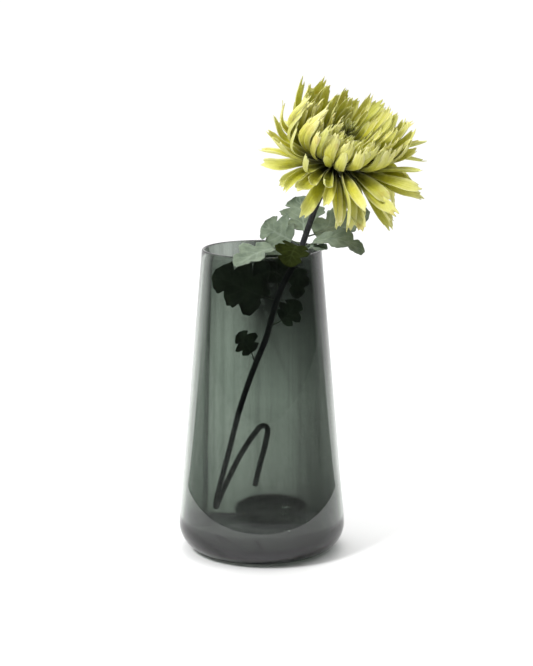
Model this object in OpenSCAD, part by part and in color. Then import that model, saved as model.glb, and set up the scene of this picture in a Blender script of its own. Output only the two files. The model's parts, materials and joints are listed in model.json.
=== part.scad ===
// Tapered smoke-glass vase with one artificial chrysanthemum stem standing in it.
// Frame: the origin is the middle of the vase's flat base, +Z is up and -Y is the front.
// Every length is in millimetres and every angle in degrees.

/* [Vase] */
// Height of the vase
vase_h = 250; // [230:1:270]
// Outside diameter at the mouth
mouth_d = 96.8; // [92:0.2:102]
// Outside diameter that the straight side would reach at the table
base_d = 140.9; // [136:0.1:146]
// Thickness of the blown wall
wall = 2.6; // [2:0.1:3.2]
// Thickness of the glass floor
floor_t = 7; // [5:0.5:8]
// Outside radius of the rounded bottom corner
heel_r = 21.8; // [18:0.2:24]
// Inside radius of the rounded bottom corner
bowl_r = 19; // [16:0.5:20]

/* [Stem] */
// Diameter of the plastic sleeve over the stem wire
stem_d = 4.8; // [4:0.1:5]
// Diameter of the steel wire inside the sleeve
wire_d = 1.8; // [1.2:0.1:2.4]
// Straight length at the top of the stem that the neck collar grips
grip_h = 4; // [3:0.5:5]
// Outside diameter of the neck collar
collar_d = 6.2; // [6:0.1:8]
// Height of the neck collar
collar_h = 5.5; // [5.5:0.5:8]
// Diameter of the peg that the flower head turns on
peg_d = 3; // [2.4:0.1:3.4]
// Length of the peg above the collar
peg_h = 7; // [5:0.5:7.5]

/* [Flower head] */
// Lean of the flower head away from upright
head_lean = 31; // [24:1:36]
// Compass direction of the lean, anticlockwise from +X
head_bearing = -55; // [-80:1:-45]
// Height of the calyx cup
calyx_h = 12; // [11:0.5:16]
// Diameter of the calyx cup at its mouth
calyx_d = 18; // [14:0.5:22]
// Diameter of the spindle that the petal layers are threaded on
spindle_d = 9; // [7:0.5:10]
// Thickness of the moulded petal fabric
petal_t = 0.6; // [0.4:0.1:0.8]
// How far the petal tips are set over to the right
petal_sway = 5; // [0:0.5:6]
// Depth of the cuts between petals, as a share of a petal's length
petal_cut = 0.42; // [0.2:0.02:0.6]

/* [Leaves] */
// Thickness of the leaf fabric
leaf_t = 0.5; // [0.4:0.1:0.8]
// Diameter of a leaf's moulded stalk and midrib
rib_d = 1.3; // [1:0.1:1.8]
// Depth of the lobes along a leaf's edge, as a share of its half width
lobe_depth = 0.24; // [0:0.02:0.4]
// Upward cupping of a leaf across its width
leaf_cup = 0.22; // [0:0.02:0.4]

/* [Fits] */
// Radial gap between the peg and its bore, and between the spindle's spigot and the calyx
run_gap = 0.05; // [0.02:0.01:0.1]
// Radial gap between the sleeve and the wire, the collar, and the petal layers' holes
seat_gap = 0.1; // [0.05:0.01:0.2]

/* [Hidden] */
round_fn = 96;          // facets shown on turned parts
tube_sides = 8;         // sides of the stem sleeve and its wire
rib_sides = 6;          // sides of a leaf's rib
curve_steps = 2;        // rings drawn between two points of the stem's route
leaf_rows = 12;         // cross-sections along a leaf's blade
leaf_cols = 4;          // strips across a leaf's blade
rib_rows = 9;           // rings along a leaf's rib
rib_end = 0.92;         // how far along the leaf its rib runs
rib_taper = 0.6;        // how much thinner the rib is at its end
petal_rows = 6;         // points along a petal from spindle to tip
petal_sides = 4;        // sections around each petal, from one cut to the next

// Side of the vase: the cone's lean, and the lines of its outer and inner faces
side_lean = atan((base_d - mouth_d) / 2 / vase_h);
wall_across = wall / cos(side_lean);
rim_r = wall / 2;
rim_z = vase_h - rim_r;

function side_r(z) = base_d / 2 - z * tan(side_lean);
function corner_x(line_r, r, z) = line_r - z * tan(side_lean) - r / cos(side_lean);

// Route of the stem, from under the flower down to the bowl, and up again into the fold
neck = [50, -43, 305.5];
stem_route = [
    [45.5, -41, 297], [42, -40, 288.5], [37, -37, 273.5], [32.5, -34, 259.5],
    [29.7, -31.4, 250], [22, -25, 235], [14.5, -19, 218], [8.5, -13, 198],
    [3.5, -8, 178], [-4, -1, 157.5], [-10, 4, 140.5], [-18, 11, 115],
    [-22.5, 16, 97], [-27.5, 22, 76], [-33.5, 29.5, 52], [-38, 36, 33],
    [-39.2, 38, 26], [-39.6, 40.7, 22.1], [-39, 44.1, 21.4], [-37.8, 46.8, 24.3],
    [-35.5, 47.6, 29.8], [-29.2, 47.5, 43.4], [-19.6, 47.5, 63], [-10.1, 47.6, 78.6],
    [-3.8, 47.7, 87], [-1.6, 47.8, 89.6], [1.4, 48, 90.9], [4, 48.2, 89.7],
    [5.1, 48.5, 86.7], [4.4, 49, 81], [1.6, 50, 68], [-1.8, 51, 55], [-6, 52.5, 37]
];

// Flower head: a unit vector along its axis, and where its parts sit on it
head_axis = [
    sin(head_lean) * cos(head_bearing),
    sin(head_lean) * sin(head_bearing),
    cos(head_lean)
];
head_gap = 0.3;         // between the neck collar and the calyx
calyx_z = collar_h + head_gap;
hub_z = calyx_z + calyx_h;
calyx_lip = 1;          // straight edge round the calyx's mouth
calyx_flare = 0.8;      // how much wider the calyx's foot gets over its first stretch
calyx_foot_h = 3;       // height of that stretch
calyx_waist = [0.72, 7]; // share of the mouth's diameter, and height, of its waist
spigot_d = 4;
spigot_h = 3.5;
peg_play = 0.6;         // room above the peg's end in its bore
spindle_h = 19;
cut_over = 1;           // how far a cutting cylinder starts outside the solid

// Centre bud: its diameter, and its outline as [share of that diameter, height]
bud_d = 9;
bud_outline = [[0.4, 0], [0.5, 6], [0.45, 14], [0.25, 20], [0, 22]];

// Petal layers, outermost first:
// [belly radius, belly height, tip radius, tip height, number of petals]
layer_rise = 1.6;       // height between the holes of two layers
layer_base_z = 0.6;     // height of the first layer's hole above the calyx
LAYERS = [
    [32, 6, 57, -17, 11], [36, 8, 62, -7, 12], [37, 10.5, 65, 4, 13],
    [40, 12.5, 65, 17, 13], [47, 13, 59, 33, 13], [53, 15, 46, 46, 13],
    [51, 18, 37, 48, 13], [42, 20, 28.5, 49, 12], [34, 22, 21, 49, 11],
    [26, 24, 14.5, 47.5, 9], [18.5, 24, 9, 45, 7]
];

// Leaves: [height of the stalk on the stem, bend, tip, way the upper face looks, width, blade start]
LEAVES = [
    // drapes over the front of the mouth, to the left
    [254, [3, -43, 261], [-20, -55.5, 243.5], [-0.1, -0.35, 1], 31, 0.4],
    // hangs its tip over the front of the mouth
    [256, [26, -45, 263], [20.5, -56, 244], [0.12, -0.4, 1], 28, 0.32],
    // fans out to the left behind the stem
    [258, [18, -28, 262], [1, -24, 273], [-0.3, -1, 0.5], 33, 0.26],
    // stands upright behind the stem
    [262, [34, -12, 273], [30, -2, 292], [0.05, -1, 0.4], 36, 0.22],
    // reaches to the right, under the petals
    [265, [58, -23, 269], [85, -12, 282], [-0.3, -1, 0.9], 31, 0.12],
    // reaches to the right and bends its tip down
    [257, [60, -54, 273], [78, -57, 254], [-0.1, -0.6, 1], 22, 0.14],
    // small leaf by the mouth
    [254.5, [42, -45, 259], [51, -48.5, 256], [0.2, -0.6, 1], 13, 0.3],
    // large leaf inside the neck, to the left
    [210, [-8, -14, 215], [-38.5, -15, 232], [0.3, -1, 0.4], 40, 0.28],
    // hangs inside the neck, behind the large leaf
    [228, [-1, -4, 246], [-12, -3, 196], [-0.3, -1, 0.2], 30, 0.3],
    // low leaf inside, beside the stem
    [157, [-9, -6, 171], [-20, -6, 181], [0.2, -1, 0.3], 22, 0.3],
    // leaf inside, to the right
    [190, [22, -12, 194], [28.5, -15, 211], [-0.3, -1, 0.2], 24, 0.3],
    // leaf hanging inside the neck, to the right of the stem
    [234, [33, -12, 250], [28, -9, 211], [-0.2, -1, 0.2], 19, 0.48],
    // stands inside the neck, behind the stem
    [214, [12, 2, 222], [12, 7, 249], [0, -1, 0.1], 27, 0.35]
];
stalk_depth = 0.5;      // how far a stalk's root is moulded into the sleeve

// What each item of a leaf's row is
function bend(leaf) = leaf[1];
function tip(leaf) = leaf[2];
function face(leaf) = leaf[3];
function width(leaf) = leaf[4];
function blade_start(leaf) = leaf[5];

// Middle of the stem at height z, above its lowest bend
stem_upper = [for (i = [0:12]) stem_route[i]];
function stem_at(z) = [
    lookup(z, [for (p = stem_upper) [p.z, p.x]]),
    lookup(z, [for (p = stem_upper) [p.z, p.y]]),
    z
];

// Root of a leaf's stalk, on the side of the stem that faces the stalk's bend
function root(leaf) = let (
    middle = stem_at(leaf[0]),
    along = unit(stem_at(leaf[0] + 2) - stem_at(leaf[0] - 2)),
    way = bend(leaf) - middle
) middle + (stem_d / 2 - stalk_depth) * unit(way - (way * along) * along);

// Node names
PETAL_NODES = [for (i = [1:len(LAYERS)]) str("petal_layer_", i)];
LEAF_NODES = [for (i = [1:len(LEAVES)]) str("leaf_", i)];
RIB_NODES = [for (i = [1:len(LEAVES)]) str("leaf_rib_", i)];

// ---------- curves and skins ----------

function unit(v) = v / norm(v);

// Point at t on the quadratic curve from a to c that leaves towards b, and its direction there
function bow(a, b, c, t) = a * (1 - t) ^ 2 + b * 2 * t * (1 - t) + c * t ^ 2;
function bow_way(a, b, c, t) = unit((b - a) * (1 - t) + (c - b) * t);

// Point at t between p1 and p2 on a smooth curve through all four points
function spline(p0, p1, p2, p3, t) = 0.5 * (
    2 * p1 + (p2 - p0) * t + (2 * p0 - 5 * p1 + 4 * p2 - p3) * t ^ 2
    + (3 * p1 - p0 - 3 * p2 + p3) * t ^ 3
);

// Smooth path through every point of a route
function smooth(route) = let (last = len(route) - 1) [
    for (i = [0:last - 1], k = [0:curve_steps - 1]) spline(
        route[max(i - 1, 0)], route[i], route[i + 1], route[min(i + 2, last)], k / curve_steps
    ),
    route[last]
];

// Ring of points of radius r around p, square to the direction way; aim fixes where it starts
function ring(p, way, r, sides, aim) = let (
    across = unit(cross(way, aim)),
    over = cross(way, across)
) [for (k = [0:sides - 1]) p + r * (cos(360 * k / sides) * across + sin(360 * k / sides) * over)];

// Direction of a path at its point i
function path_way(path, i) = unit(path[min(i + 1, len(path) - 1)] - path[max(i - 1, 0)]);

// The stem's rings all start on this side, which none of its stretches runs along
stem_aim = [-0.6, 0.6, 0.2];

function stem_rings(path, r) =
    [for (i = [0:len(path) - 1]) ring(path[i], path_way(path, i), r, tube_sides, stem_aim)];

// The two triangles between points k and k + 1 of rings i and j, of m points each. A ring that
// runs out and back has its second half split the other way, so that a thin wall's two faces match
function patch(i, j, k, m) = let (n = (k + 1) % m, a = i * m, b = j * m)
    2 * k < m
    ? [[a + k, b + k, b + n], [a + k, b + n, a + n]]
    : [[a + k, b + k, a + n], [b + k, b + n, a + n]];

function side_faces(first, last, m) =
    [for (i = [first:last], k = [0:m - 1]) each patch(i, i + 1, k, m)];

// Triangles across one ring of m points, whose first point is number a
function cap(a, m) = [
    for (k = [0:m / 2 - 2]) let (far = a + m - 2 - k, near = a + k)
        each [[near, near + 1, far], [near, far, far + 1]]
];

// Solid skin over a row of rings, closed at each end
module skin(rings) {
    m = len(rings[0]);
    end = len(rings) - 1;
    polyhedron(
        points = [for (r = rings) each r],
        faces = concat(
            side_faces(0, end - 1, m),
            cap(0, m),
            [for (f = cap(end * m, m)) [f[2], f[1], f[0]]]
        ),
        convexity = 6
    );
}

// Solid skin over rings that run back round to the first one
module loop_skin(rings) {
    m = len(rings[0]);
    end = len(rings) - 1;
    polyhedron(
        points = [for (r = rings) each r],
        faces = concat(
            side_faces(0, end - 1, m),
            [for (k = [0:m - 1]) each patch(end, 0, k, m)]
        ),
        convexity = 8
    );
}

// ---------- vase ----------

// Half section: a straight side of one lean, with a rounded corner at its foot
module half_section(line_r, corner_r, foot_z, top) {
    corner_z = foot_z + corner_r;
    x = corner_x(line_r, corner_r, corner_z);
    side = [x + corner_r * cos(side_lean), corner_z + corner_r * sin(side_lean)];
    polygon(concat([[0, foot_z], [x, foot_z], side], top));
    intersection() {
        translate([x, corner_z]) circle(r = corner_r, $fn = round_fn);
        translate([0, foot_z]) square([side_r(0), 2 * corner_r]);
    }
}

module vase() {
    middle_r = side_r(rim_z) - wall_across / 2;
    out = [cos(side_lean), sin(side_lean)] * rim_r;
    outer_lip = [middle_r, rim_z] + out;
    inner_lip = [middle_r, rim_z] - out;
    color("darkslategray", 0.5) rotate_extrude($fn = round_fn) {
        difference() {
            half_section(base_d / 2, heel_r, 0, [outer_lip, inner_lip, [0, inner_lip.y]]);
            half_section(
                base_d / 2 - wall_across, bowl_r, floor_t, [inner_lip, [0, vase_h + wall]]
            );
        }
        translate([middle_r, rim_z]) circle(r = rim_r, $fn = round_fn);
    }
}

// ---------- stem ----------

// The stem's centre line: the straight length in the collar, then the smooth route
function stem_path() = concat(
    [neck + (grip_h - seat_gap) * head_axis, neck],
    smooth(concat([neck - grip_h / 2 * head_axis], stem_route))
);

module stem_sleeve() {
    path = stem_path();
    outside = stem_rings(path, stem_d / 2);
    inside = stem_rings(path, wire_d / 2 + seat_gap);
    last = len(path) - 1;
    color("dimgray") loop_skin(concat(outside, [for (i = [0:last]) inside[last - i]]));
}

module stem_wire() {
    color("silver") skin(stem_rings(stem_path(), wire_d / 2));
}

// Places children in the flower head's own frame, h along its axis from the neck
module on_head(h) {
    translate(neck + h * head_axis) rotate([0, head_lean, head_bearing])
        rotate([0, 0, -head_bearing]) children();
}

module neck_collar() {
    color("dimgray") on_head(0) {
        difference() {
            cylinder(d = collar_d, h = collar_h, $fn = round_fn);
            translate([0, 0, -cut_over])
                cylinder(d = stem_d + 2 * seat_gap, h = grip_h + cut_over, $fn = round_fn);
        }
        peg_root = (grip_h + collar_h) / 2;
        translate([0, 0, peg_root])
            cylinder(d = peg_d, h = collar_h + peg_h - peg_root, $fn = round_fn);
    }
}

// ---------- flower head ----------

module calyx() {
    bore_h = peg_h - head_gap + peg_play;
    color("olivedrab") on_head(calyx_z) difference() {
        rotate_extrude($fn = round_fn) polygon([
            [0, 0], [collar_d / 2, 0], [collar_d / 2 + calyx_flare, calyx_foot_h],
            [calyx_d / 2 * calyx_waist[0], calyx_waist[1]],
            [calyx_d / 2, calyx_h - calyx_lip], [calyx_d / 2, calyx_h], [0, calyx_h]
        ]);
        translate([0, 0, -cut_over])
            cylinder(d = peg_d + 2 * run_gap, h = bore_h + cut_over, $fn = round_fn);
        translate([0, 0, calyx_h - spigot_h])
            cylinder(d = spigot_d + 2 * run_gap, h = spigot_h + cut_over, $fn = round_fn);
    }
}

module petal_spindle() {
    color("olivedrab") on_head(hub_z) {
        cylinder(d = spindle_d, h = spindle_h, $fn = round_fn);
        translate([0, 0, run_gap - spigot_h])
            cylinder(d = spigot_d, h = spigot_h, $fn = round_fn);
    }
}

module centre_bud() {
    color("yellowgreen") on_head(hub_z + spindle_h) rotate_extrude($fn = round_fn)
        polygon(concat([[0, 0]], [for (p = bud_outline) [p[0] * bud_d, p[1]]]));
}

// Share of a petal's length that is cut away at section k around it
petal_outline = [1, 0.12, 0, 0.12];
function cut_at(k) = petal_cut * petal_outline[k % petal_sides];

// Direction from a petal's upper face to its back, at share t of its outline
function back_way(layer, hole, t) = let (
    way = bow_way(hole, [layer[0], layer[1]], [layer[2], layer[3]], t)
) [way.y, -way.x];

// Closed section through a petal layer at one angle: out along its face and back beneath
function petal_section(layer, hole, angle, reach) = let (
    shares = [for (i = [0:petal_rows - 1]) reach * i / (petal_rows - 1)],
    line = [for (t = shares) bow(hole, [layer[0], layer[1]], [layer[2], layer[3]], t)],
    back = [for (i = [0:petal_rows - 1]) line[i] + petal_t * back_way(layer, hole, shares[i])],
    last = petal_rows - 1
) [
    for (i = [0:2 * last + 1]) let (
        k = i <= last ? i : 2 * last + 1 - i,
        p = i <= last ? line[k] : back[k]
    ) [p.x * cos(angle) + petal_sway * shares[k] ^ 2, p.x * sin(angle), p.y]
];

module petal_layer(i) {
    layer = LAYERS[i];
    sections = layer[4] * petal_sides;
    hole = [spindle_d / 2 + seat_gap, layer_base_z + petal_t + i * layer_rise];
    color("yellowgreen") on_head(hub_z) loop_skin([
        for (k = [0:sections - 1])
            petal_section(layer, hole, 360 * k / sections, 1 - cut_at(k))
    ]);
}

// ---------- leaves ----------

// Direction across a leaf at t, and the direction that its upper face looks there
function across_at(leaf, t) =
    unit(cross(bow_way(root(leaf), bend(leaf), tip(leaf), t), face(leaf)));
function up_at(leaf, t) =
    cross(across_at(leaf, t), bow_way(root(leaf), bend(leaf), tip(leaf), t));

// Half width of a leaf at share s of its blade: an oval, pinched between its lobes
end_width = 0.08;       // least share of the full width, at the blade's two ends
oval_start = 0.04;      // where on a half turn the oval starts, and as far from its end it stops
oval_set = 0.85;        // below 1, the oval is widest nearer to the stalk
oval_fullness = 0.7;    // below 1, the oval is blunter
lobes = 2.5;            // lobes along each edge
function half_width(leaf, s) = let (
    oval = sin(180 * (oval_start + (1 - 2 * oval_start) * s) ^ oval_set) ^ oval_fullness,
    pinch = 1 - lobe_depth * (0.5 + 0.5 * cos(360 * lobes * s))
) width(leaf) / 2 * max(end_width, oval * pinch);

// Closed section across a leaf's blade: over its upper face and back beneath
function blade_section(leaf, s) = let (
    t = blade_start(leaf) + (1 - blade_start(leaf)) * s,
    middle = bow(root(leaf), bend(leaf), tip(leaf), t),
    across = across_at(leaf, t),
    up = up_at(leaf, t),
    w = half_width(leaf, s),
    face_line = [for (c = [-1:2 / leaf_cols:1])
        middle + across * w * c + up * (leaf_cup * w * c * c + rib_d / 2)]
) concat([for (p = face_line) p + up * leaf_t], [for (k = [leaf_cols:-1:0]) face_line[k]]);

module leaf(i) {
    color("darkseagreen") skin([
        for (k = [0:leaf_rows]) blade_section(LEAVES[i], k / leaf_rows)
    ]);
}

// Stalk and midrib: a fine tube under the leaf that thins out before the tip
module leaf_rib(i) {
    leaf = LEAVES[i];
    color("seagreen") skin([
        for (k = [0:rib_rows]) let (t = rib_end * k / rib_rows) ring(
            bow(root(leaf), bend(leaf), tip(leaf), t),
            bow_way(root(leaf), bend(leaf), tip(leaf), t),
            rib_d / 2 * (1 - rib_taper * k / rib_rows), rib_sides, up_at(leaf, t)
        )
    ]);
}

vase();
stem_sleeve();
stem_wire();
neck_collar();
calyx();
petal_spindle();
centre_bud();
for (i = [0:len(LAYERS) - 1]) petal_layer(i);
for (i = [0:len(LEAVES) - 1]) leaf(i);
for (i = [0:len(LEAVES) - 1]) leaf_rib(i);
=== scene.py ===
"""Looks for the smoke-glass vase and its artificial chrysanthemum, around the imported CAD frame."""

import json
import math
import random

import bpy
import numpy as np
from mathutils import Matrix, Vector


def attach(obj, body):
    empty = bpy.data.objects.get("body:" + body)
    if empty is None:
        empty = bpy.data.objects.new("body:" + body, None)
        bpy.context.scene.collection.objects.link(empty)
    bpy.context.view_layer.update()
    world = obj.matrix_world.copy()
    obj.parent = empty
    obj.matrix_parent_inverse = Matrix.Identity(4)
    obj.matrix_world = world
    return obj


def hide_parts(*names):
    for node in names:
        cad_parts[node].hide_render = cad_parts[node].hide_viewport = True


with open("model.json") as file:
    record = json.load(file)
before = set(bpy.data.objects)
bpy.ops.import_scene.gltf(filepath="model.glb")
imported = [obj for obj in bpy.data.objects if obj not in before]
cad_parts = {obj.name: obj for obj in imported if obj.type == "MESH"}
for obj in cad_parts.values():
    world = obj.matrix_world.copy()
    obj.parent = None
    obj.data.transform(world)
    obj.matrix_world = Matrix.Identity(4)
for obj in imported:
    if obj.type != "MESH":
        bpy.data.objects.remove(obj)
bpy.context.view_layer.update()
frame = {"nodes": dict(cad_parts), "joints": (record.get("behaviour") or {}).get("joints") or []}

random.seed(13)
MM = 0.001

# ---------------------------------------------------------------- camera

CAMERA_BACK = 1.479          # metres in front of the vase's axis
CAMERA_UP = 0.476            # height above the table
CAMERA_DIP = math.radians(11.3)
CAMERA_LENS = 100.2          # on the default 36 mm sensor
CAMERA_SHIFT = 0.0072        # sets the vase a little left of the middle


def make_camera():
    data = bpy.data.cameras.new("camera")
    data.lens = CAMERA_LENS
    data.shift_x = CAMERA_SHIFT
    camera = bpy.data.objects.new("camera", data)
    camera.location = (0, -CAMERA_BACK, CAMERA_UP)
    camera.rotation_euler = (math.pi / 2 - CAMERA_DIP, 0, 0)
    bpy.context.scene.collection.objects.link(camera)
    bpy.context.scene.camera = camera


# ---------------------------------------------------------------- meshes

def unit(v):
    v = np.asarray(v, float)
    return v / max(np.linalg.norm(v), 1e-12)


def bow(a, b, c, t):
    """Point at t on the quadratic curve from a to c that leaves towards b."""
    a, b, c = (np.asarray(p, float) for p in (a, b, c))
    return a * (1 - t) ** 2 + b * 2 * t * (1 - t) + c * t ** 2


def bow_way(a, b, c, t):
    a, b, c = (np.asarray(p, float) for p in (a, b, c))
    return unit((b - a) * (1 - t) + (c - b) * t)


def smoothstep(low, high, x):
    t = min(1.0, max(0.0, (x - low) / (high - low)))
    return t * t * (3 - 2 * t)


class Shape:
    """Vertices, faces, face materials and surface coordinates of one piece, in metres."""

    def __init__(self):
        self.points, self.faces, self.slots, self.marks = [], [], [], []

    def add(self, points, faces, marks=None, slots=None):
        start = len(self.points)
        self.points.extend(tuple(p) for p in points)
        self.marks.extend(marks if marks is not None else [(0.0, 0.0, 0.0)] * len(points))
        self.faces.extend(tuple(i + start for i in f) for f in faces)
        self.slots.extend(slots if slots is not None else [0] * len(faces))

    def piece(self, name, materials, body, nodes, smooth=True):
        mesh = bpy.data.meshes.new(name)
        mesh.from_pydata(self.points, [], self.faces)
        for m in materials:
            mesh.materials.append(m)
        mesh.polygons.foreach_set("material_index", self.slots)
        mesh.polygons.foreach_set("use_smooth", [smooth] * len(self.faces))
        layer = mesh.attributes.new("mark", "FLOAT_VECTOR", "POINT")
        layer.data.foreach_set("vector", np.array(self.marks, np.float32).ravel())
        mesh.update()
        obj = bpy.data.objects.new(name, mesh)
        bpy.context.scene.collection.objects.link(obj)
        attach(obj, body)
        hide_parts(*nodes)
        return obj


def sheet_faces(rows, cols):
    """Faces of a closed thin sheet: rows x cols points above, then the same beneath."""
    under = rows * cols
    faces, slots = [], []
    for i in range(rows - 1):
        for j in range(cols - 1):
            a, b, c, d = i * cols + j, i * cols + j + 1, (i + 1) * cols + j + 1, (i + 1) * cols + j
            faces += [(a, b, c, d), (a + under, d + under, c + under, b + under)]
            slots += [0, 1]
    rim = (
        [(0, j) for j in range(cols - 1)]
        + [(i, cols - 1) for i in range(rows - 1)]
        + [(rows - 1, j) for j in range(cols - 1, 0, -1)]
        + [(i, 0) for i in range(rows - 1, 0, -1)]
    )
    ring = [i * cols + j for i, j in rim]
    for a, b in zip(ring, ring[1:] + ring[:1]):
        faces.append((a, a + under, b + under, b))
        slots.append(0)
    return faces, slots


def tube(path, radii, sides, aim):
    """Points and faces of a closed tube along a path, with marks (along, around, 0)."""
    points, marks, faces = [], [], []
    last = len(path) - 1
    for i, p in enumerate(path):
        way = unit(path[min(i + 1, last)] - path[max(i - 1, 0)])
        across = unit(np.cross(way, aim))
        over = np.cross(way, across)
        for k in range(sides):
            a = 2 * math.pi * k / sides
            points.append(p + radii[i] * (math.cos(a) * across + math.sin(a) * over))
            marks.append((i / last, k / sides, 0.0))
    for i in range(last):
        for k in range(sides):
            n = (k + 1) % sides
            faces.append((i * sides + k, i * sides + n, (i + 1) * sides + n, (i + 1) * sides + k))
    faces.append(tuple(range(sides))[::-1])
    faces.append(tuple(last * sides + k for k in range(sides)))
    return points, faces, marks


def lathe(profile, sides):
    """Points and faces of a profile of (radius, height) turned about Z; its ends lie on the axis."""
    points, faces = [], []
    for r, z in profile[1:-1]:
        for k in range(sides):
            a = 2 * math.pi * k / sides
            points.append((r * math.cos(a), r * math.sin(a), z))
    rings = len(profile) - 2
    for i in range(rings - 1):
        for k in range(sides):
            n = (k + 1) % sides
            faces.append((i * sides + k, i * sides + n, (i + 1) * sides + n, (i + 1) * sides + k))
    first, end = len(points), len(points) + 1
    points += [(0, 0, profile[0][1]), (0, 0, profile[-1][1])]
    top = (rings - 1) * sides
    for k in range(sides):
        n = (k + 1) % sides
        faces.append((first, n, k))
        faces.append((end, top + k, top + n))
    return points, faces


# ---------------------------------------------------------------- materials

class Nodes:
    """A small helper that wires up one material's nodes."""

    def __init__(self, name):
        self.material = bpy.data.materials.new(name)
        self.material.use_nodes = True
        self.tree = self.material.node_tree
        self.shader = self.tree.nodes["Principled BSDF"]

    def node(self, kind, **settings):
        n = self.tree.nodes.new(kind)
        for key, value in settings.items():
            setattr(n, key, value)
        return n

    def link(self, a, b):
        self.tree.links.new(a, b)

    def put(self, **values):
        """Constant values, straight on the shader's sockets; _ stands for a space."""
        for key, value in values.items():
            self.shader.inputs[key.replace("_", " ")].default_value = value

    def mark(self):
        """Surface coordinates stored on the mesh, as separate X, Y and Z outputs."""
        attribute = self.node("ShaderNodeAttribute", attribute_name="mark")
        split = self.node("ShaderNodeSeparateXYZ")
        self.link(attribute.outputs["Vector"], split.inputs[0])
        return split.outputs

    def height(self):
        """Height above the table of a point of the piece, in metres, with the stem in the vase."""
        split = self.node("ShaderNodeSeparateXYZ")
        self.link(self.node("ShaderNodeTexCoord").outputs["Object"], split.inputs[0])
        return split.outputs[2]

    def maths(self, operation, a, b=None):
        n = self.node("ShaderNodeMath", operation=operation)
        for socket, value in zip(n.inputs, (a, b)):
            if value is None:
                continue
            if isinstance(value, (int, float)):
                socket.default_value = value
            else:
                self.link(value, socket)
        return n.outputs[0]

    def noise(self, scale, detail=3.0, vector=None, roughness=0.55):
        n = self.node("ShaderNodeTexNoise")
        n.inputs["Scale"].default_value = scale
        n.inputs["Detail"].default_value = detail
        n.inputs["Roughness"].default_value = roughness
        if vector is None:
            vector = self.node("ShaderNodeTexCoord").outputs["Object"]
        self.link(vector, n.inputs["Vector"])
        return n.outputs["Fac"]

    def ramp(self, factor, stops):
        n = self.node("ShaderNodeValToRGB")
        ramp = n.color_ramp
        while len(ramp.elements) > 1:
            ramp.elements.remove(ramp.elements[-1])
        ramp.elements[0].position, ramp.elements[0].color = stops[0][0], (*stops[0][1], 1)
        for place, colour in stops[1:]:
            ramp.elements.new(place).color = (*colour, 1)
        self.link(factor, n.inputs["Fac"])
        return n.outputs["Color"]

    def mix(self, factor, a, b, blend="MIX"):
        n = self.node("ShaderNodeMix", data_type="RGBA", blend_type=blend)
        for socket, value in ((n.inputs[0], factor), (n.inputs[6], a), (n.inputs[7], b)):
            if isinstance(value, (int, float)):
                socket.default_value = value
            elif isinstance(value, tuple):
                socket.default_value = (*value, 1)
            else:
                self.link(value, socket)
        return n.outputs[2]

    def bump(self, height, strength, distance):
        n = self.node("ShaderNodeBump")
        n.inputs["Strength"].default_value = strength
        n.inputs["Distance"].default_value = distance
        self.link(height, n.inputs["Height"])
        self.link(n.outputs["Normal"], self.shader.inputs["Normal"])


def glass_material():
    m = Nodes("smoke_glass")
    m.put(Roughness=0.0, IOR=1.5, Transmission_Weight=1.0)
    colour = m.ramp(m.noise(9, 2), [(0.3, (0.36, 0.405, 0.365)), (0.7, (0.40, 0.44, 0.40))])
    m.link(colour, m.shader.inputs["Base Color"])
    ripple = m.node("ShaderNodeMapping")
    ripple.inputs["Scale"].default_value = (1, 1, 0.08)
    m.link(m.node("ShaderNodeTexCoord").outputs["Object"], ripple.inputs["Vector"])
    m.bump(m.noise(28, 1, ripple.outputs["Vector"]), 0.12, 0.002)
    return m.material


def petal_material(name, deep, body, light):
    """Moulded polyester petal with fine lengthwise ribs: darker at its foot, partly its own deeper colour
    and partly painted shade deep among the petals, and paler at its edges and tip, partly its own tone and
    partly a painted highlight.
    """
    m = Nodes(name)
    along, across, tint = m.mark()
    mottle = m.noise(260, 4)
    length = m.maths("ADD", along, m.maths("MULTIPLY", m.maths("SUBTRACT", mottle, 0.5), 0.35))
    # partly painted shade: the colour runs dark towards the petal's foot, deep among the other petals
    colour = m.ramp(length, [(0.25, deep), (0.60, body), (1.0, light)])
    # partly painted highlight: paler colour along the edges and at the tip
    pale = m.maths("MULTIPLY", m.maths("POWER", m.maths("ABSOLUTE", across), 4.0), 0.45)
    pale = m.maths("ADD", pale, m.maths("MULTIPLY", m.maths("POWER", along, 9.0), 0.35))
    pale = m.maths("MULTIPLY", pale, m.maths("SQRT", along))
    colour = m.mix(pale, colour, (0.88, 0.86, 0.60))
    blush = m.maths("GREATER_THAN", m.noise(70, 2), 0.66)
    blush = m.maths("MULTIPLY", m.maths("MULTIPLY", blush, m.maths("POWER", along, 2.0)), 0.35)
    colour = m.mix(blush, colour, (0.48, 0.27, 0.04))
    shade = m.mix(tint, (0.78, 0.82, 0.70), (1.12, 1.10, 1.15))
    colour = m.mix(1.0, colour, shade, "MULTIPLY")
    m.link(colour, m.shader.inputs["Base Color"])
    ribs = m.maths("SINE", m.maths("MULTIPLY", across, 17.0))
    weave = m.noise(2600, 2)
    height = m.maths("ADD", m.maths("MULTIPLY", ribs, 0.5), m.maths("MULTIPLY", weave, 0.6))
    m.bump(height, 0.35, 0.0004)
    m.put(Roughness=0.62, Subsurface_Weight=0.12, Subsurface_Scale=0.002,
          Subsurface_Radius=(1.0, 1.0, 0.35), Sheen_Weight=0.2, Specular_IOR_Level=0.35)
    return m.material


# Painted shade: the foliage colour is darkened below the vase's rim, where the leaves sit in the vase's
# shade
INSIDE_VASE_PAINTED_SHADE = [(0.225, (0.30, 0.34, 0.26)), (0.262, (1.0, 1.0, 1.0))]


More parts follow.
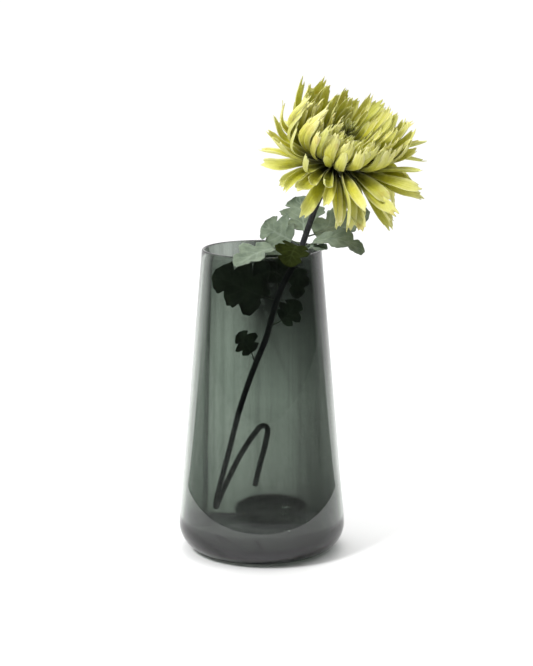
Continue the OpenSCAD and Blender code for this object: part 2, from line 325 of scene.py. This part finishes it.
def leaf_material(name, deep, body, vein, sheen):
    """Moulded polyester leaf with a pressed midrib and side veins."""
    m = Nodes(name)
    ridge = m.mark()[2]
    mottle = m.noise(140, 5)
    colour = m.ramp(mottle, [(0.3, deep), (0.62, body)])
    colour = m.mix(m.maths("MULTIPLY", ridge, 0.6), colour, vein)
    # painted shade: leaf colour multiplied darker below the vase's rim
    m.link(m.mix(1.0, colour, m.ramp(m.height(), INSIDE_VASE_PAINTED_SHADE), "MULTIPLY"), m.shader.inputs["Base Color"])
    weave = m.noise(2200, 2)
    height = m.maths("ADD", m.maths("MULTIPLY", weave, 0.5), mottle)
    m.bump(height, 0.4, 0.0005)
    m.put(Roughness=0.7, Sheen_Weight=sheen, Specular_IOR_Level=1.2 * sheen)
    return m.material


def plastic_material(name, dark, light, roughness, bump):
    m = Nodes(name)
    colour = m.ramp(m.noise(420, 4), [(0.35, dark), (0.7, light)])
    m.link(colour, m.shader.inputs["Base Color"])
    m.bump(m.noise(900, 3), bump, 0.0004)
    m.put(Roughness=roughness, Specular_IOR_Level=0.45)
    return m.material


def wire_material():
    m = Nodes("wire_steel")
    colour = m.ramp(m.noise(800, 2), [(0.3, (0.35, 0.35, 0.36)), (0.7, (0.6, 0.6, 0.61))])
    m.link(colour, m.shader.inputs["Base Color"])
    m.bump(m.noise(1500, 2), 0.3, 0.0002)
    m.put(Roughness=0.35, Metallic=1.0)
    return m.material


def paint_node(name, material):
    """Gives a CAD node that no finer mesh replaces its material."""
    materials = frame["nodes"][name].data.materials
    materials.clear()
    materials.append(material)


# ---------------------------------------------------------------- vase

VASE_TOP = 250 * MM
MOUTH_R = 48.4 * MM
BASE_R = 70.45 * MM          # radius that the straight side would reach at the table
WALL = 2.6 * MM
FLOOR = 7 * MM
HEEL_R = 21.8 * MM
BOWL_R = 19 * MM
LEAN = math.atan((BASE_R - MOUTH_R) / VASE_TOP)


def arc(x, z, r, start, end, steps):
    return [
        (x + r * math.cos(start + (end - start) * i / steps),
         z + r * math.sin(start + (end - start) * i / steps))
        for i in range(steps + 1)
    ]


def vase_profile():
    """From the middle of the underside, round the foot, up over the lip and down inside."""
    across = WALL / math.cos(LEAN)
    lip_z = VASE_TOP - WALL / 2
    lip_r = BASE_R - lip_z * math.tan(LEAN) - across / 2
    heel_x = BASE_R - HEEL_R * math.tan(LEAN) - HEEL_R / math.cos(LEAN)
    bowl_z = FLOOR + BOWL_R
    bowl_x = BASE_R - across - bowl_z * math.tan(LEAN) - BOWL_R / math.cos(LEAN)
    steps = 24
    flat = [(heel_x * i / 6, 0) for i in range(6)]
    heel = arc(heel_x, HEEL_R, HEEL_R, -math.pi / 2, LEAN, steps)
    lip = arc(lip_r, lip_z, WALL / 2, LEAN, LEAN + math.pi, 14)
    bowl = arc(bowl_x, bowl_z, BOWL_R, LEAN, -math.pi / 2, steps)
    floor = [(bowl_x * i / 6, FLOOR) for i in range(5, -1, -1)]

    def side(a, b, count):
        return [
            (a[0] + (b[0] - a[0]) * i / count, a[1] + (b[1] - a[1]) * i / count)
            for i in range(1, count)
        ]
    return (
        flat + heel + side(heel[-1], lip[0], 40) + lip + side(lip[-1], bowl[0], 40)
        + bowl + floor
    )


def make_vase():
    points, faces = lathe(vase_profile(), 192)
    shape = Shape()
    shape.add(points, faces)
    shape.piece("vase_glass", [glass_material()], "vase", ["vase"])


# ---------------------------------------------------------------- stem

STEM_R = 2.4 * MM
GRIP = 3.9 * MM              # straight length of stem inside the neck collar
JOINT = next(j for j in frame["joints"] if j["name"] == "head_turn")
NECK = np.array(JOINT["pos_m"])
AXIS = unit(JOINT["axis"])

# The stem's centre line in millimetres, from under the flower to the folded end: the CAD's route
STEM_ROUTE = [
    (45.5, -41, 297), (42, -40, 288.5), (37, -37, 273.5), (32.5, -34, 259.5),
    (29.7, -31.4, 250), (22, -25, 235), (14.5, -19, 218), (8.5, -13, 198),
    (3.5, -8, 178), (-4, -1, 157.5), (-10, 4, 140.5), (-18, 11, 115),
    (-22.5, 16, 97), (-27.5, 22, 76), (-33.5, 29.5, 52), (-38, 36, 33),
    (-39.2, 38, 26), (-39.6, 40.7, 22.1), (-39, 44.1, 21.4), (-37.8, 46.8, 24.3),
    (-35.5, 47.6, 29.8), (-29.2, 47.5, 43.4), (-19.6, 47.5, 63), (-10.1, 47.6, 78.6),
    (-3.8, 47.7, 87), (-1.6, 47.8, 89.6), (1.4, 48, 90.9), (4, 48.2, 89.7),
    (5.1, 48.5, 86.7), (4.4, 49, 81), (1.6, 50, 68), (-1.8, 51, 55), (-6, 52.5, 37),
]
STEM_AIM = np.array([-0.6, 0.6, 0.2])


def spline(points, steps):
    """Smooth path through every point, with steps rings between two of them."""
    path, last = [], len(points) - 1
    for i in range(last):
        p0, p1 = points[max(i - 1, 0)], points[i]
        p2, p3 = points[i + 1], points[min(i + 2, last)]
        for k in range(steps):
            t = k / steps
            path.append(0.5 * (
                2 * p1 + (p2 - p0) * t + (2 * p0 - 5 * p1 + 4 * p2 - p3) * t ** 2
                + (3 * p1 - p0 - 3 * p2 + p3) * t ** 3
            ))
    return path + [points[last]]


def stem_path(steps):
    route = [NECK - 2 * MM * AXIS] + [np.array(p) * MM for p in STEM_ROUTE]
    return [NECK + GRIP * AXIS, NECK] + spline(route, steps)


def make_stem():
    sleeve = plastic_material("stem_sleeve_plastic", (0.012, 0.012, 0.014), (0.035, 0.035, 0.04), 0.55, 0.5)
    path = stem_path(8)
    radii = [STEM_R * (1 + 0.018 * math.sin(i * 1.7) * math.sin(i * 0.31)) for i in range(len(path))]
    radii[0] = radii[1] = STEM_R
    shape = Shape()
    points, faces, marks = tube(path, radii, 20, STEM_AIM)
    shape.add(points, faces, marks)
    shape.piece("stem_sleeve_skin", [sleeve], "stem", ["stem_sleeve"])
    paint_node("stem_wire", wire_material())
    paint_node("neck_collar", sleeve)


# ---------------------------------------------------------------- flower head

HUB_RISE = 17.8 * MM         # from the neck joint to the foot of the petal spindle
SPINDLE_R = 4.6 * MM
LAYER_RISE = 1.6 * MM
FIRST_LAYER = 1.2 * MM
SWAY = 5 * MM                # how far the petal tips are set over to the right


def head_matrix():
    lean = math.acos(AXIS[2])
    bearing = math.atan2(AXIS[1], AXIS[0])
    swing = Matrix.Rotation(bearing, 3, "Z")
    return np.array(swing @ Matrix.Rotation(lean, 3, "Y") @ Matrix.Rotation(-bearing, 3, "Z"))


TURN = head_matrix()
HUB = NECK + HUB_RISE * AXIS

# Petal layers, outermost first, in millimetres: belly radius and height, tip radius and height,
# number of petals, petal width, spread of the tips' heights, tip curl
LAYERS = [
    (32, 6, 57, -20, 13, 14.0, 6, 8), (36, 8, 62, -10, 14, 14.0, 7, 10),
    (38, 10.5, 65, 1, 15, 13.5, 7, 10), (41, 12.5, 64, 15, 16, 12.5, 7, 9),
    (47, 13, 58, 31, 16, 11.5, 6, 6), (53, 15, 47, 44, 18, 11.0, 4, 2),
    (51, 18, 38, 46.5, 18, 10.5, 4, -4), (42, 20, 29, 48, 17, 9.5, 3, -6),
    (34, 22, 21.5, 48, 15, 8.0, 3, -6), (27, 24, 15, 46, 13, 6.5, 2, -5),
    (19, 24, 9.5, 43, 9, 5.0, 2, -3),
]
# rings of small petals round the eye: count, belly r, z, tip r, z, width
BUD = [(7, 6.5, 33, 5.4, 42, 4.0), (6, 4.5, 33, 3.2, 41.5, 3.4), (4, 2.6, 33, 1.2, 40, 2.6)]
BUD_FOOT = 21 * MM
PETAL_ROWS = 22
PETAL_COLS = 11
LEFT_WAY = 0.1               # radians past -X that the raised outer petals centre on
TALL_WAY = 2.5               # radians from +X to the tallest petals, at the back left
SKIRT_END = 13               # belly height in mm from which a layer closes in at the front


def petal(layer, hole_z, azimuth, tint, sway=SWAY):
    """Points of one petal in the head's frame: above, then beneath, with its marks."""
    belly_r, belly_z, tip_r, tip_z, _, width, spread, curl = layer
    rand = random.uniform
    reach = 1 + rand(-0.15, 0.05)
    loose = smoothstep(0, 6, curl)
    left = max(0.0, -math.cos(azimuth - LEFT_WAY)) * loose
    right = max(0.0, math.cos(azimuth)) * loose
    front = max(0.0, -math.sin(azimuth))
    tall = max(0.0, math.cos(azimuth - TALL_WAY)) ** 10 * loose
    rise = min(24, 6 + 5 * (belly_z - 6))
    tip_z += rise * left ** 1.5 + 6 * tall + 9 * right
    reach += 0.07 * left
    if belly_z < SKIRT_END:
        tip_z -= 9 * front * (tip_z > -15)
    else:
        belly_r *= 1 - 0.2 * front
        tip_r *= 1 - 0.3 * front
        tip_z += (3 if curl > 0 else -5 if belly_z < 20 else -11) * front
    tip = (tip_r * MM * reach, (tip_z + rand(-1, 1) * spread) * MM)
    belly = (belly_r * MM, (belly_z + rand(-1, 1) * 2 - 7 * left) * MM)
    foot = (min(SPINDLE_R, 0.5 * belly_r * MM), hole_z)
    half = width / 2 * MM * rand(0.82, 1.15) * (1 - 0.2 * left)
    swing = math.radians(rand(-11, 11))
    twist = math.radians(rand(-48, 48)) * (0.35 + 0.65 * loose)
    cup = rand(0.9, 1.9)
    if curl > 0:
        hook = (curl * rand(-1.5, 1.3) + 0.6 * rise * left) * MM
    else:
        hook = curl * rand(0.4, 1.6) * MM
    teeth = rand(2.0, 3.4)
    shift = rand(0, 6.28)        # about one full turn
    depth = rand(0.03, 0.10)
    wave = rand(-1, 1) * 1.2 * MM
    top, under, marks = [], [], []
    for i in range(PETAL_ROWS):
        u = i / (PETAL_ROWS - 1)
        for j in range(PETAL_COLS):
            v = 2 * j / (PETAL_COLS - 1) - 1
            notch = depth * (0.5 + 0.5 * math.cos(teeth * math.pi * v + shift)) + 0.08 * v * v
            t = u * (1 - notch * smoothstep(0.72, 1.0, u))
            r, z = bow(foot, belly, tip, t)
            way = bow_way(foot, belly, tip, t)
            bent = smoothstep(0.55, 1.0, t)
            r, z = r - way[1] * hook * bent * bent, z + way[0] * hook * bent * bent
            angle = azimuth + swing * t * t
            out = np.array([math.cos(angle), math.sin(angle), 0])
            side = np.array([-math.sin(angle), math.cos(angle), 0])
            centre = out * r + np.array([sway * t * t, 0, z])
            face = out * -way[1] + np.array([0, 0, way[0]])
            turn = twist * smoothstep(0.15, 1.0, t)
            across = side * math.cos(turn) + face * math.sin(turn)
            up = face * math.cos(turn) - side * math.sin(turn)
            w = half * (0.34 + 0.66 * smoothstep(0, 0.55, t)) * (1 - 0.30 * smoothstep(0.80, 1.0, t))
            bend = cup * (1.5 - 0.7 * smoothstep(0.1, 0.7, t) + 0.2 * smoothstep(0.8, 1, t))
            x = w * math.sin(bend * v) / bend
            y = w * (1 - math.cos(bend * v)) / bend + wave * abs(v) ** 3 * math.sin(5 * t + 2 * v)
            groove = 0.22 * MM * math.cos(3 * math.pi * v) * math.sin(math.pi * t)
            p = centre + across * x + up * (y + groove)
            thick = 0.22 * MM * (1 - 0.55 * v * v) * (1 - 0.4 * t)
            normal = up * math.cos(bend * v) - across * math.sin(bend * v)
            top.append(p + normal * thick)
            under.append(p - normal * thick)
            marks.append((t, v, tint))
    return top + under, marks + marks


def to_world(points):
    return np.asarray(points) @ TURN.T + HUB


def make_bud(faces):
    """The eye of the flower: a knob wrapped in tiny half-open petals."""
    # painted shade: the bud's colours are far darker than the petals', for the shade in the hollow at the
    # flower's eye
    dark = petal_material("bud_fabric", (0.02, 0.025, 0.002), (0.12, 0.13, 0.01), (0.46, 0.47, 0.06))
    shape = Shape()
    for ring, (count, belly_r, belly_z, tip_r, tip_z, width) in enumerate(BUD):
        for i in range(count):
            azimuth = 2 * math.pi * (i + 0.5 * (ring % 2)) / count
            layer = (belly_r, belly_z, tip_r, tip_z, count, width, 0.5, -1.5)
            points, marks = petal(layer, BUD_FOOT, azimuth, random.random(), 0.0)
            shape.add(to_world(points), faces, marks)
    shape.piece("bud_petals", [dark], "head", ["centre_bud"])


def make_head():
    fabric = petal_material("petal_fabric", (0.09, 0.095, 0.002), (0.54, 0.525, 0.030), (0.74, 0.72, 0.22))
    faces, _ = sheet_faces(PETAL_ROWS, PETAL_COLS)
    for number, layer in enumerate(LAYERS):
        shape = Shape()
        count = layer[4]
        for i in range(count):
            azimuth = 2 * math.pi * (i + 0.5 * (number % 2)) / count + math.radians(random.uniform(-5, 5))
            hole_z = FIRST_LAYER + number * LAYER_RISE
            points, marks = petal(layer, hole_z, azimuth, random.random())
            shape.add(to_world(points), faces, marks)
        shape.piece(f"petals_{number + 1}", [fabric], "head", [f"petal_layer_{number + 1}"])
    green = plastic_material("calyx_plastic", (0.07, 0.10, 0.02), (0.16, 0.21, 0.05), 0.55, 0.4)
    paint_node("calyx", green)
    paint_node("petal_spindle", green)
    make_bud(faces)


# ---------------------------------------------------------------- leaves

# Height of the stalk on the stem, bend, tip, way the upper face looks, width, blade start: as in CAD
LEAVES = [
    (254, (3, -43, 261), (-20, -55.5, 243.5), (-0.1, -0.35, 1), 31, 0.4),
    (256, (26, -45, 263), (20.5, -56, 244), (0.12, -0.4, 1), 28, 0.32),
    (258, (18, -28, 262), (1, -24, 273), (-0.3, -1, 0.5), 33, 0.26),
    (262, (34, -12, 273), (30, -2, 292), (0.05, -1, 0.4), 36, 0.22),
    (265, (58, -23, 269), (85, -12, 282), (-0.3, -1, 0.9), 31, 0.12),
    (257, (60, -54, 273), (78, -57, 254), (-0.1, -0.6, 1), 22, 0.14),
    (254.5, (42, -45, 259), (51, -48.5, 256), (0.2, -0.6, 1), 13, 0.3),
    (210, (-8, -14, 215), (-38.5, -15, 232), (0.3, -1, 0.4), 40, 0.28),
    (228, (-1, -4, 246), (-12, -3, 196), (-0.3, -1, 0.2), 30, 0.3),
    (157, (-9, -6, 171), (-20, -6, 181), (0.2, -1, 0.3), 22, 0.3),
    (190, (22, -12, 194), (28.5, -15, 211), (-0.3, -1, 0.2), 24, 0.3),
    (234, (33, -12, 250), (28, -9, 211), (-0.2, -1, 0.2), 19, 0.48),
    (214, (12, 2, 222), (12, 7, 249), (0, -1, 0.1), 27, 0.35),
]
STALK_DEPTH = 0.5 * MM
RIB_R = 0.65 * MM
RIB_END = 0.92               # how far along the leaf its stalk runs
RIB_RINGS = 28
LEAF_T = 0.5 * MM
LEAF_CUP = 0.22
LOBE_DEPTH = 0.45
LEAF_ROWS = 56
LEAF_COLS = 25


def stem_at(z):
    """Middle of the stem at height z, in metres, above its lowest bend."""
    upper = [np.array(p) * MM for p in STEM_ROUTE[:13]]
    for a, b in zip(upper, upper[1:]):
        if b[2] <= z <= a[2]:
            return a + (b - a) * (a[2] - z) / (a[2] - b[2])
    return upper[0]


def leaf_root(leaf):
    z = leaf[0] * MM
    middle = stem_at(z)
    along = unit(stem_at(z + 2 * MM) - stem_at(z - 2 * MM))
    way = np.array(leaf[1]) * MM - middle
    return middle + (STEM_R - STALK_DEPTH) * unit(way - (way @ along) * along)


def half_width(leaf, s):
    belly = math.sin(math.pi * (0.04 + 0.92 * s) ** 0.85) ** 0.7
    lobes = 1 - LOBE_DEPTH * (1 - abs(math.sin(math.pi * (2.6 * s + 0.25)))) ** 1.5
    return leaf[4] / 2 * MM * max(0.08, belly * lobes)


def side_vein(s, c):
    """How near (s, c) is to the midrib or a side vein, 0 to 1, and its dent."""
    mid = math.exp(-(c / 0.05) ** 2) * (1 - 0.5 * s)
    run = (s - 0.30 * abs(c)) * 5.0
    near = abs(run - round(run)) / 5.0
    side = math.exp(-(near / 0.014) ** 2) * (1 - 0.7 * abs(c)) if 0 < round(run) < 5 else 0
    return max(mid, side)


def make_leaf(number, leaf, upper, lower, rib_green):
    rng = random.Random(100 + number)
    root, bend, tip = leaf_root(leaf), np.array(leaf[1]) * MM, np.array(leaf[2]) * MM
    start = leaf[5]
    wave, phase = rng.uniform(0.7, 1.2) * MM, rng.uniform(0, 6.28)
    top, under, marks = [], [], []
    for i in range(LEAF_ROWS):
        s = i / (LEAF_ROWS - 1)
        for j in range(LEAF_COLS):
            c = 2 * j / (LEAF_COLS - 1) - 1
            ahead = min(1.0, s + 0.05 * abs(c) * math.sin(math.pi * s))
            t = start + (1 - start) * ahead
            way = bow_way(root, bend, tip, t)
            across = unit(np.cross(way, np.array(leaf[3])))
            up = np.cross(across, way)
            scallop = abs(math.sin(26 * s + 1.3 * np.sign(c) + phase)) - 0.6
            w = half_width(leaf, s) * (1 + 0.09 * scallop * smoothstep(0.75, 1, abs(c)))
            vein = side_vein(s, c)
            lift = LEAF_CUP * w * c * c + RIB_R - 0.35 * MM * vein
            lift += wave * c * c * math.sin(9 * s + phase + 1.5 * np.sign(c))
            p = bow(root, bend, tip, t) + across * w * c + up * lift
            top.append(p + up * LEAF_T)
            under.append(p)
            marks.append((s, c, vein))
    faces, slots = sheet_faces(LEAF_ROWS, LEAF_COLS)
    faces = [f[::-1] for f in faces]
    shape = Shape()
    shape.add(top + under, faces, marks + marks, slots)
    shape.piece(f"leaf_{number}_blade", [upper, lower], "stem", [f"leaf_{number}"])
    path = [bow(root, bend, tip, RIB_END * k / RIB_RINGS) for k in range(RIB_RINGS + 1)]
    radii = [RIB_R * (1 - 0.6 * k / RIB_RINGS) for k in range(RIB_RINGS + 1)]
    rib = Shape()
    points, rib_faces, rib_marks = tube(path, radii, 10, np.array(leaf[3]))
    rib.add(points, rib_faces, rib_marks)
    rib.piece(f"leaf_{number}_stalk", [rib_green], "stem", [f"leaf_rib_{number}"])


PAINTED_SHADE_LEAVES = (2,)                 # leaves whose upper face is coloured near black: painted shade, darker than the leaves' own underside


def make_leaves():
    upper = leaf_material("leaf_upper", (0.10, 0.14, 0.095), (0.21, 0.265, 0.19), (0.32, 0.38, 0.31), 0.25)
    lower = leaf_material("leaf_under", (0.06, 0.08, 0.035), (0.12, 0.155, 0.08), (0.19, 0.23, 0.14), 0.15)
    # painted shade: a near-black copy of the leaf material, for a leaf lying in shadow
    painted_shade_leaf = leaf_material("leaf_painted_shade", (0.010, 0.014, 0.002), (0.027, 0.036, 0.006), (0.05, 0.065, 0.02),
                          0.02)
    stalk = plastic_material("stalk_plastic", (0.05, 0.07, 0.04), (0.13, 0.17, 0.10), 0.6, 0.4)
    for number, leaf in enumerate(LEAVES, 1):
        make_leaf(number, leaf, painted_shade_leaf if number in PAINTED_SHADE_LEAVES else upper, lower, stalk)


# ---------------------------------------------------------------- studio

def soft_light(name, place, target, size, power):
    data = bpy.data.lights.new(name, "AREA")
    data.shape = "RECTANGLE"
    data.size, data.size_y = size
    data.energy = power
    light = bpy.data.objects.new(name, data)
    light.location = place
    way = Vector(target) - Vector(place)
    light.rotation_euler = way.to_track_quat("-Z", "Y").to_euler()
    bpy.context.scene.collection.objects.link(light)


def hide_from(obj, *rays):
    for ray in rays:
        setattr(obj, "visible_" + ray, False)


def greys(stops):
    """Ramp stops of plain grey, from pairs of (place, brightness)."""
    return [(x, (v, v, v)) for x, v in stops]


def glow(name, stops, streaks, axis):
    """Emission that varies along one axis of the card, blurred a little by fine streaks."""
    m = Nodes(name)
    m.tree.nodes.remove(m.shader)
    split = m.node("ShaderNodeSeparateXYZ")
    m.link(m.node("ShaderNodeTexCoord").outputs["Generated"], split.inputs[0])
    flat = m.node("ShaderNodeCombineXYZ")
    m.link(split.outputs[axis], flat.inputs[0])
    fine = m.maths("MULTIPLY", m.maths("SUBTRACT", m.noise(streaks, 3, flat.outputs[0]), 0.5), 0.16)
    colour = m.ramp(m.maths("ADD", split.outputs[axis], fine), stops)
    emission = m.node("ShaderNodeEmission")
    m.link(colour, emission.inputs["Color"])
    m.link(emission.outputs[0], m.tree.nodes["Material Output"].inputs["Surface"])
    return m, colour, emission, split.outputs


def card(name, points, faces, material):
    mesh = bpy.data.meshes.new(name)
    mesh.from_pydata(points, [], faces)
    mesh.materials.append(material)
    obj = bpy.data.objects.new(name, mesh)
    bpy.context.scene.collection.objects.link(obj)
    return obj


def make_dark_surround():
    """A dark curved wall round the front, which the glass reflects and the camera doesn't see."""
    radius, height, reach, steps = 1.75, 1.3, math.radians(122), 32
    bends = [-math.pi / 2 + reach * (2 * i / steps - 1) for i in range(steps + 1)]
    faces = [(2 * i, 2 * i + 2, 2 * i + 3, 2 * i + 1) for i in range(steps)]
    black = Nodes("surround")
    black.put(Roughness=1.0, Specular_IOR_Level=0.0)
    ends = black.node("ShaderNodeSeparateXYZ")
    black.link(black.node("ShaderNodeTexCoord").outputs["Object"], ends.inputs[0])
    fade = black.ramp(ends.outputs[1], greys([(0.40, 0.03), (0.93, 0.95)]))
    black.link(fade, black.shader.inputs["Base Color"])
    points = [(radius * math.cos(a), radius * math.sin(a), z) for a in bends for z in (0.0, height)]
    wall = card("surround", points, faces, black.material)
    hide_from(wall, "camera", "shadow")
    # the same dark on the table beyond the near edge, for reflections alone
    near = 0.30
    points = [(r * math.cos(a), r * math.sin(a), 0.0006) for a in bends for r in (near, radius)]
    apron = card("apron", points, faces, black.material)
    hide_from(apron, "camera", "transmission", "shadow", "diffuse")


FLAG_HALF = 0.085            # half the flag's width, in metres
FLAG_BACK = 0.08             # how far behind the vase's axis it stands
FLAG_TOP = 0.262
WING_END = (0.19, 0.05)      # x and y of the wing's far edge


def make_flag():
    """A glowing card close behind the vase, seen only through the glass: painted light and shade for the
    glass's bands and dark top.
    """
    grey = [(0.08, 1.3), (0.14, 0.95), (0.18, 0.8), (0.188, 0.45), (0.203, 0.45), (0.212, 1.2),
            (0.30, 1.55), (0.40, 1.35), (0.52, 1.15), (0.62, 1.0), (0.70, 0.7), (0.78, 0.40),
            (0.84, 0.34), (0.90, 0.40), (1.0, 0.9)]
    m, colour, emission, place = glow("flag", greys(grey), 16.0, 0)
    fall = [(0.0, 0.30), (0.06, 0.38), (0.12, 0.72), (0.22, 0.95), (0.40, 1.0), (0.50, 0.74), (0.60, 0.40),
            (0.70, 0.10), (0.80, 0.01), (0.842, 0.01), (0.852, 0.12), (1.0, 0.2)]
    rise = m.ramp(place[2], greys(fall))
    calm = [(0.0, 0.45), (0.12, 0.75), (0.3, 0.95), (0.60, 1.0), (0.75, 0.75), (0.842, 0.5),
            (0.852, 0.62), (1.0, 0.7)]
    left = m.ramp(place[2], greys(calm))
    turn = m.ramp(place[0], greys([(0.34, 0), (0.50, 1)]))
    rise = m.mix(turn, left, rise)
    band = m.node("ShaderNodeCombineXYZ")
    m.link(place[0], band.inputs[0])
    streak = m.ramp(m.noise(22, 4, band.outputs[0], 0.7), greys([(0.34, 0.62), (0.5, 1), (0.7, 1.1)]))
    graded = m.mix(1.0, m.mix(1.0, colour, rise, "MULTIPLY"), streak, "MULTIPLY")
    # painted shade: a dark spot at the card's foot, by squared distance from its middle, in its own half
    # widths
    aside = m.maths("POWER", m.maths("DIVIDE", m.maths("SUBTRACT", place[0], 0.55), 0.20), 2.0)
    above = m.maths("POWER", m.maths("DIVIDE", m.maths("SUBTRACT", place[2], 0.02), 0.062), 2.0)
    painted_shade_pool = m.ramp(m.maths("ADD", aside, above), greys([(0.86, 0.05), (1.0, 1)]))
    m.link(m.mix(1.0, graded, painted_shade_pool, "MULTIPLY"), emission.inputs["Color"])
    corners = [(-FLAG_HALF, FLAG_BACK, 0), (FLAG_HALF, FLAG_BACK, 0),
               (FLAG_HALF, FLAG_BACK, FLAG_TOP), (-FLAG_HALF, FLAG_BACK, FLAG_TOP)]
    flag = card("flag", corners, [(0, 1, 2, 3)], m.material)
    hide_from(flag, "camera", "diffuse", "glossy", "shadow")


def make_wing():
    """A glowing screen off the flag's right edge, with painted light at its foot fading to dark above,
    which the edge of the glass bends into view.
    """
    grey = [(0.0, 1.2), (0.35, 1.0), (0.55, 0.45), (0.72, 0.10), (1.0, 0.06)]
    m = glow("wing", greys(grey), 16.0, 2)[0]
    corners = [(FLAG_HALF, FLAG_BACK, 0), (*WING_END, 0),
               (*WING_END, FLAG_TOP), (FLAG_HALF, FLAG_BACK, FLAG_TOP)]
    wing = card("wing", corners, [(0, 1, 2, 3)], m.material)
    hide_from(wing, "camera", "diffuse", "glossy", "shadow")


def make_foot_card():
    """A glowing card on the table, seen only through the glass floor: painted light and shade for the grey
    table it shows from above, lighter to the left, with one dark patch of painted shade.
    """
    grey = [(0.28, 0.24), (0.5, 0.20), (0.72, 0.13)]
    m, colour, emission, place = glow("foot_card", [(x, (v, 0.87 * v, 1.03 * v)) for x, v in grey], 9.0, 0)
    depth = m.ramp(place[1], greys([(0.34, 0.42), (0.58, 0.50), (0.87, 1)]))
    spot = m.node("ShaderNodeVectorMath", operation="DISTANCE")
    squeeze = m.node("ShaderNodeMapping")
    squeeze.inputs["Scale"].default_value = (1.0, 1.5, 1.0)
    m.link(m.node("ShaderNodeTexCoord").outputs["Object"], squeeze.inputs["Vector"])
    m.link(squeeze.outputs["Vector"], spot.inputs[0])
    spot.inputs[1].default_value = (0.007, 0.095, 0.0)
    # painted shade: the dark spot on the card
    patch = m.ramp(spot.outputs["Value"], greys([(0.028, 0.06), (0.033, 1)]))
    m.link(m.mix(1.0, m.mix(1.0, colour, depth, "MULTIPLY"), patch, "MULTIPLY"), emission.inputs["Color"])
    centre, wide, deep, sides = -0.036, 0.16, 0.140, 64
    turns = [2 * math.pi * k / sides for k in range(sides)]
    ring = [(wide * math.cos(a), centre + deep * math.sin(a), 0.0004) for a in turns]
    foot = card("foot_card", ring, [tuple(range(sides))], m.material)
    hide_from(foot, "camera", "diffuse", "glossy", "shadow")


def make_shade():
    """A dark core that only blocks light, so that the smoke glass casts its full shadow."""
    profile = [(0, 0.002), (0.048, 0.002), (0.068, 0.022), (0.0476, 0.244), (0, 0.244)]
    points, faces = lathe(profile, 48)
    dark = Nodes("shade")
    dark.put(Base_Color=(0.0, 0.0, 0.0, 1), Roughness=1.0, Specular_IOR_Level=0.0)
    core = card("shade", points, faces, dark.material)
    hide_from(core, "camera", "glossy", "transmission")


def make_studio():
    world = bpy.data.worlds.new("studio")
    bpy.context.scene.world = world
    world.use_nodes = True
    world.node_tree.nodes["Background"].inputs["Color"].default_value = (1, 1, 1, 1)
    world.node_tree.nodes["Background"].inputs["Strength"].default_value = 1.06
    floor = Nodes("floor")
    grain = floor.ramp(floor.noise(3, 2), greys([(0.3, 0.955), (0.7, 0.97)]))
    floor.link(grain, floor.shader.inputs["Base Color"])
    floor.put(Roughness=0.8, Specular_IOR_Level=0.2)
    half = 8.0
    card("floor", [(-half, -half, 0), (half, -half, 0), (half, half, 0), (-half, half, 0)],
         [(0, 1, 2, 3)], floor.material)
    soft_light("overhead", (0.05, 0.35, 1.6), (0.02, 0, 0.1), (1.0, 1.0), 9)
    soft_light("key", (-1.0, -0.9, 1.5), (0.05, -0.03, 0.32), (0.4, 0.4), 26)
    make_dark_surround()
    make_flag()
    make_wing()
    make_foot_card()
    make_shade()
    bpy.context.scene.view_settings.view_transform = "Standard"


make_camera()
make_studio()
make_vase()
make_stem()
make_leaves()
make_head()
